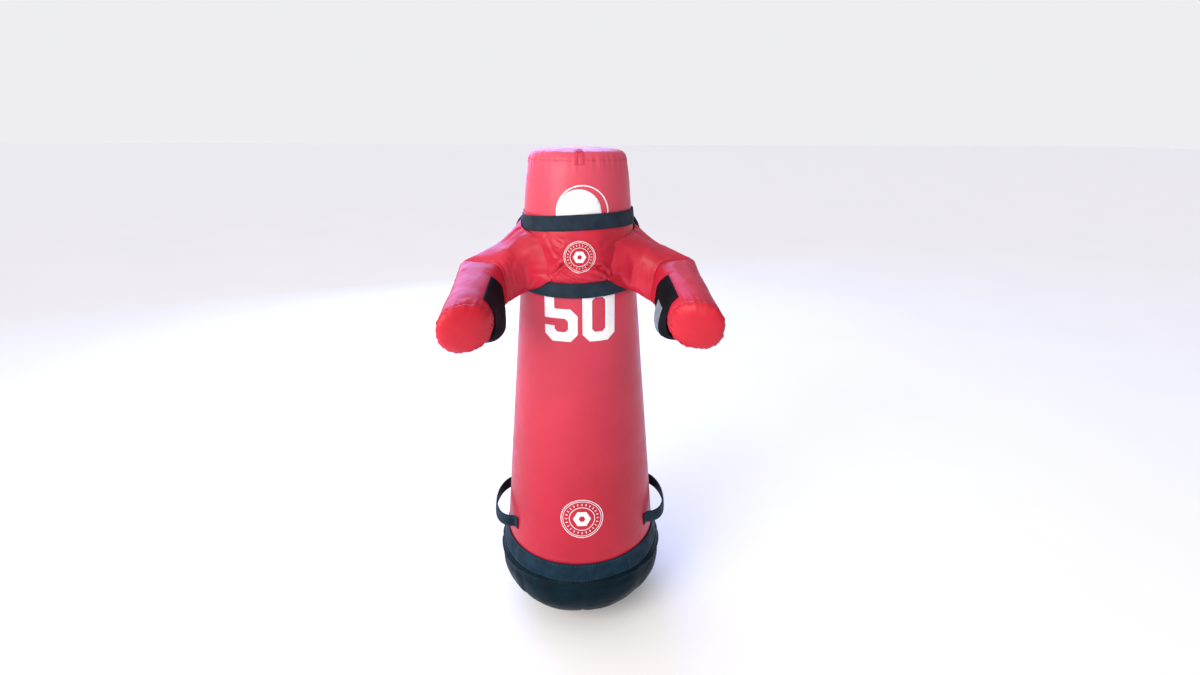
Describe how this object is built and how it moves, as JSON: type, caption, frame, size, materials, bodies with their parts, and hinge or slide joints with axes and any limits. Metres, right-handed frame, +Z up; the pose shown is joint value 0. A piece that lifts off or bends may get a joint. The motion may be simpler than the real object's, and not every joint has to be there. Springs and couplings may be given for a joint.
{
  "type": "tackling and grappling dummy",
  "caption": "Free-standing padded dummy with a tapered body, round weighted self-righting base, side grab handles and a strap-on foam arm harness.",
  "frame": {"origin": "centre of the flat rubber foot, on the ground under the body's axis", "axes": "+Z up along the body, -Y is the front that the arms reach towards, +X is the dummy's left as it faces forward"},
  "size_m": [0.6768, 0.6924, 1.508],
  "materials": {
    "red_vinyl": "satin",
    "red_webbing": "matte",
    "boot_fabric": "satin",
    "black_webbing": "matte",
    "white_print": "satin",
    "loop_fabric": "matte",
    "hook_tape": "matte",
    "foam": "matte",
    "steel": "satin",
    "bowl_plastic": "matte",
    "plywood": "matte",
    "foot_rubber": "matte",
    "zip_plastic": "satin",
    "zip_metal": "satin"
  },
  "bodies": {
    "dummy": {"foot": "foot_rubber", "boot_dome": "boot_fabric", "boot_band": "boot_fabric", "base_bowl": "bowl_plastic", "bowl_filler": "foam", "ballast_plates": "steel", "ballast_studs": "steel", "ballast_washers": "steel", "ballast_nuts": "steel", "base_board": "plywood", "board_screws": "steel", "lower_foam": "foam", "middle_foam": "foam", "head_foam": "foam", "cover_tube": "red_vinyl", "cover_top": "red_vinyl", "top_piping": "red_vinyl", "hang_tab": "red_webbing", "zip_tape": "black_webbing", "zip_coil": "zip_plastic", "chest_number": "white_print", "base_roundel": "white_print", "head_mark": "white_print", "left_handle_front_end": "black_webbing", "left_handle_rear_end": "black_webbing", "right_handle_front_end": "black_webbing", "right_handle_rear_end": "black_webbing"},
    "zip_slider": {"zip_slider": "zip_metal"},
    "zip_puller": {"zip_puller": "zip_metal"},
    "left_handle": {"left_handle": "black_webbing"},
    "right_handle": {"right_handle": "black_webbing"},
    "arm_harness": {"chest_yoke": "red_vinyl", "back_panel": "boot_fabric", "yoke_roundel": "white_print", "upper_strap": "black_webbing", "lower_strap": "black_webbing", "left_shoulder_pad": "boot_fabric", "right_shoulder_pad": "boot_fabric", "left_shoulder_sleeve": "red_vinyl", "left_shoulder_foam": "foam", "right_shoulder_sleeve": "red_vinyl", "right_shoulder_foam": "foam"},
    "upper_strap_tail": {"upper_strap_tail": "black_webbing"},
    "lower_strap_tail": {"lower_strap_tail": "black_webbing"},
    "left_upper_arm": {"left_elbow_sleeve": "red_vinyl", "left_elbow_foam": "foam"},
    "left_forearm": {"left_forearm_sleeve": "red_vinyl", "left_forearm_foam": "foam", "left_hand_end": "red_vinyl", "left_grip_panel": "loop_fabric"},
    "right_upper_arm": {"right_elbow_sleeve": "red_vinyl", "right_elbow_foam": "foam"},
    "right_forearm": {"right_forearm_sleeve": "red_vinyl", "right_forearm_foam": "foam", "right_hand_end": "red_vinyl", "right_grip_panel": "loop_fabric", "right_hook_strip": "hook_tape"}
  },
  "joints": [
    {"name": "harness_lift", "type": "slide", "parent": "dummy", "child": "arm_harness", "axis": [0, 0, 1], "range_m": [0, 0.42]},
    {"name": "left_shoulder_swing", "type": "hinge", "parent": "arm_harness", "child": "left_upper_arm", "pos_m": [-0.19928, -0.07585, 1.17622], "axis": [0, 0, 1], "range_deg": [-20, 30], "stiffness_Nm_per_rad": 8},
    {"name": "left_elbow_bend", "type": "hinge", "parent": "left_upper_arm", "child": "left_forearm", "pos_m": [-0.26758, -0.19266, 1.14248], "axis": [0, 0, 1], "range_deg": [-15, 35], "stiffness_Nm_per_rad": 6},
    {"name": "right_shoulder_swing", "type": "hinge", "parent": "arm_harness", "child": "right_upper_arm", "pos_m": [0.19928, -0.07585, 1.17622], "axis": [0, 0, -1], "range_deg": [-20, 30], "stiffness_Nm_per_rad": 8},
    {"name": "right_elbow_bend", "type": "hinge", "parent": "right_upper_arm", "child": "right_forearm", "pos_m": [0.26758, -0.19266, 1.14248], "axis": [0, 0, -1], "range_deg": [-15, 35], "stiffness_Nm_per_rad": 6},
    {"name": "left_handle_flex", "type": "hinge", "parent": "dummy", "child": "left_handle", "pos_m": [-0.23451, 0, 0.35], "axis": [0, 1, 0], "range_deg": [-20, 20], "stiffness_Nm_per_rad": 0.3},
    {"name": "right_handle_flex", "type": "hinge", "parent": "dummy", "child": "right_handle", "pos_m": [0.23451, 0, 0.35], "axis": [0, -1, 0], "range_deg": [-20, 20], "stiffness_Nm_per_rad": 0.3},
    {"name": "zip_run", "type": "slide", "parent": "dummy", "child": "zip_slider", "axis": [0, -0.0894, 0.996], "range_m": [0, 0.7]},
    {"name": "zip_puller_swing", "type": "hinge", "parent": "zip_slider", "child": "zip_puller", "pos_m": [0, 0.2497, 0.35272], "axis": [1, 0, 0], "range_deg": [0, 150]},
    {"name": "upper_tail_peel", "type": "hinge", "parent": "arm_harness", "child": "upper_strap_tail", "pos_m": [0.0601, 0.14876, 1.3235], "axis": [0.0335, 0.0829, -0.996], "range_deg": [0, 60]},
    {"name": "lower_tail_peel", "type": "hinge", "parent": "arm_harness", "child": "lower_strap_tail", "pos_m": [0.06619, 0.16382, 1.1425], "axis": [0.0335, 0.0829, -0.996], "range_deg": [0, 60]}
  ]
}
